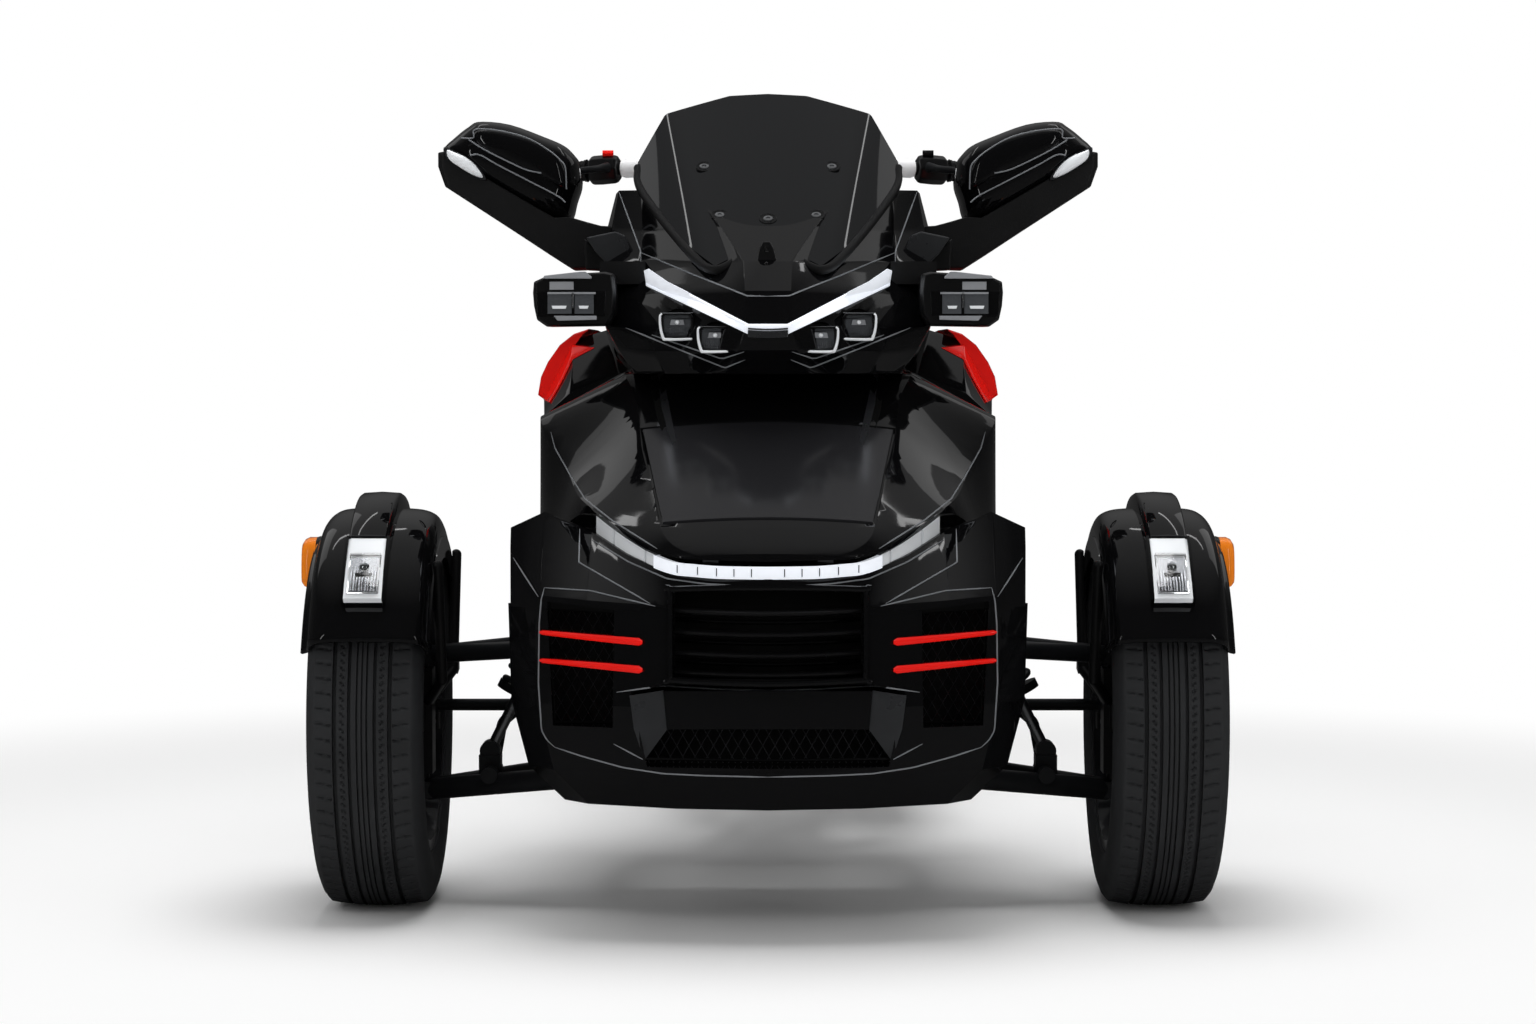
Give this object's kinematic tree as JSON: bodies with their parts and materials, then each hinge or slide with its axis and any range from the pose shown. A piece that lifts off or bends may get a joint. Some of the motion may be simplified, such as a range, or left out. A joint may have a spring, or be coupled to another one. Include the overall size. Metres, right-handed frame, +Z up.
{
  "type": "three-wheeled motor trike with two front wheels",
  "caption": "Motor trike with two steered front wheels, one driven rear wheel, a front luggage lid, saddle seat, handlebar, lamps and mirrors.",
  "frame": {"origin": "on the ground, midway between the front and rear ends on the centre line", "axes": "+X to the rider's left seen from the front, +Y towards the rear, the front faces -Y, +Z up"},
  "size_m": [1.372, 2.422, 1.2209],
  "materials": {
    "gloss_black": "deep gloss black paint",
    "satin_black": "grained black plastic",
    "frame_black": "satin black powder coat",
    "engine_grey": "matt grey casting paint",
    "red_paint": "gloss red",
    "arm_metal": "satin dark grey",
    "alloy": "machined and clear coated",
    "disc_steel": "ground",
    "chrome": "polished",
    "tyre": "matt tread",
    "rubber": "matt",
    "clear_lens": "clear lamp lens",
    "amber_lens": "amber lens",
    "red_lens": "red lens",
    "screen": "dark smoked screen",
    "mirror": "silvered",
    "seat_cover": "black grained seat cover",
    "exhaust_steel": "dark satin",
    "white_plastic": "white"
  },
  "bodies": {
    "root": {"front_subframe": "frame_black", "main_frame": "frame_black", "seat_frame": "frame_black", "engine": "engine_grey", "belly_pan": "satin_black", "front_fascia": "gloss_black", "red_blades": "red_paint", "grilles": "satin_black", "nose_body": "gloss_black", "trunk_tub": "satin_black", "nose_light_strip": "clear_lens", "upper_fairing": "gloss_black", "windscreen": "screen", "headlight_bar": "chrome", "headlight_units": "clear_lens", "dash": "satin_black", "mirrors": "gloss_black", "mirror_glass": "mirror", "side_lamps": "gloss_black", "side_panels": "gloss_black", "side_accents": "red_paint", "tank_cover": "gloss_black", "seat": "seat_cover", "tail_body": "gloss_black", "tail_lamp": "red_lens", "drive_belt": "rubber", "swing_arm": "frame_black", "rear_damper": "arm_metal", "exhaust": "exhaust_steel", "foot_pegs": "satin_black", "rear_mudguard": "satin_black", "rack_housing": "frame_black", "suspension_arms": "arm_metal", "anti_roll_bar": "frame_black", "front_dampers": "arm_metal"},
    "trunk_lid": {"trunk_lid": "gloss_black"},
    "steering_bar": {"handlebar": "frame_black", "grips": "rubber", "switch_boxes": "satin_black", "levers": "frame_black"},
    "steering_rack": {"tie_rods": "arm_metal"},
    "knuckle_body_right": {"knuckle_right": "frame_black", "mudguard_right": "gloss_black", "mudguard_lamp_right": "clear_lens", "side_marker_right": "amber_lens"},
    "front_wheel_right": {"front_rim_right": "alloy", "front_disc_right": "disc_steel", "front_tyre_right": "tyre"},
    "knuckle_body_left": {"knuckle_left": "frame_black", "mudguard_left": "gloss_black", "mudguard_lamp_left": "clear_lens", "side_marker_left": "amber_lens"},
    "front_wheel_left": {"front_rim_left": "alloy", "front_disc_left": "disc_steel", "front_tyre_left": "tyre"},
    "rear_wheel": {"rear_rim": "alloy", "rear_disc_and_pulley": "disc_steel", "rear_tyre": "tyre"}
  },
  "joints": [
    {"name": "trunk_lid_hinge", "type": "hinge", "parent": "root", "child": "trunk_lid", "pos_m": [0, -1.131, 0.556], "axis": [1, 0, 0], "range_deg": [0, 60]},
    {"name": "handlebar_turn", "type": "hinge", "parent": "root", "child": "steering_bar", "pos_m": [0, -0.261, 0.905], "axis": [0, 0.326, 0.9454], "range_deg": [-20, 20]},
    {"name": "rack_travel", "type": "slide", "parent": "root", "child": "steering_rack", "axis": [-1, 0, 0], "range_m": [-0.047, 0.047]},
    {"name": "steer_right", "type": "hinge", "parent": "root", "child": "knuckle_body_right", "pos_m": [0.512, -0.781, 0.281], "axis": [0, 0, 1], "range_deg": [-24.1, 24.1]},
    {"name": "steer_left", "type": "hinge", "parent": "root", "child": "knuckle_body_left", "pos_m": [-0.512, -0.781, 0.281], "axis": [0, 0, 1], "range_deg": [-24.1, 24.1]},
    {"name": "spin_right", "type": "hinge", "parent": "knuckle_body_right", "child": "front_wheel_right", "pos_m": [0.572, -0.781, 0.281], "axis": [1, 0, 0], "continuous": true},
    {"name": "spin_left", "type": "hinge", "parent": "knuckle_body_left", "child": "front_wheel_left", "pos_m": [-0.572, -0.781, 0.281], "axis": [1, 0, 0], "continuous": true},
    {"name": "spin_rear", "type": "hinge", "parent": "root", "child": "rear_wheel", "pos_m": [0, 0.819, 0.303], "axis": [1, 0, 0], "continuous": true}
  ],
  "couplings": [
    {"joint": "steer_right", "follows": "handlebar_turn", "ratio": 1.2},
    {"joint": "steer_left", "follows": "handlebar_turn", "ratio": 1.2},
    {"joint": "rack_travel", "follows": "handlebar_turn", "m_per_rad": 0.132}
  ]
}
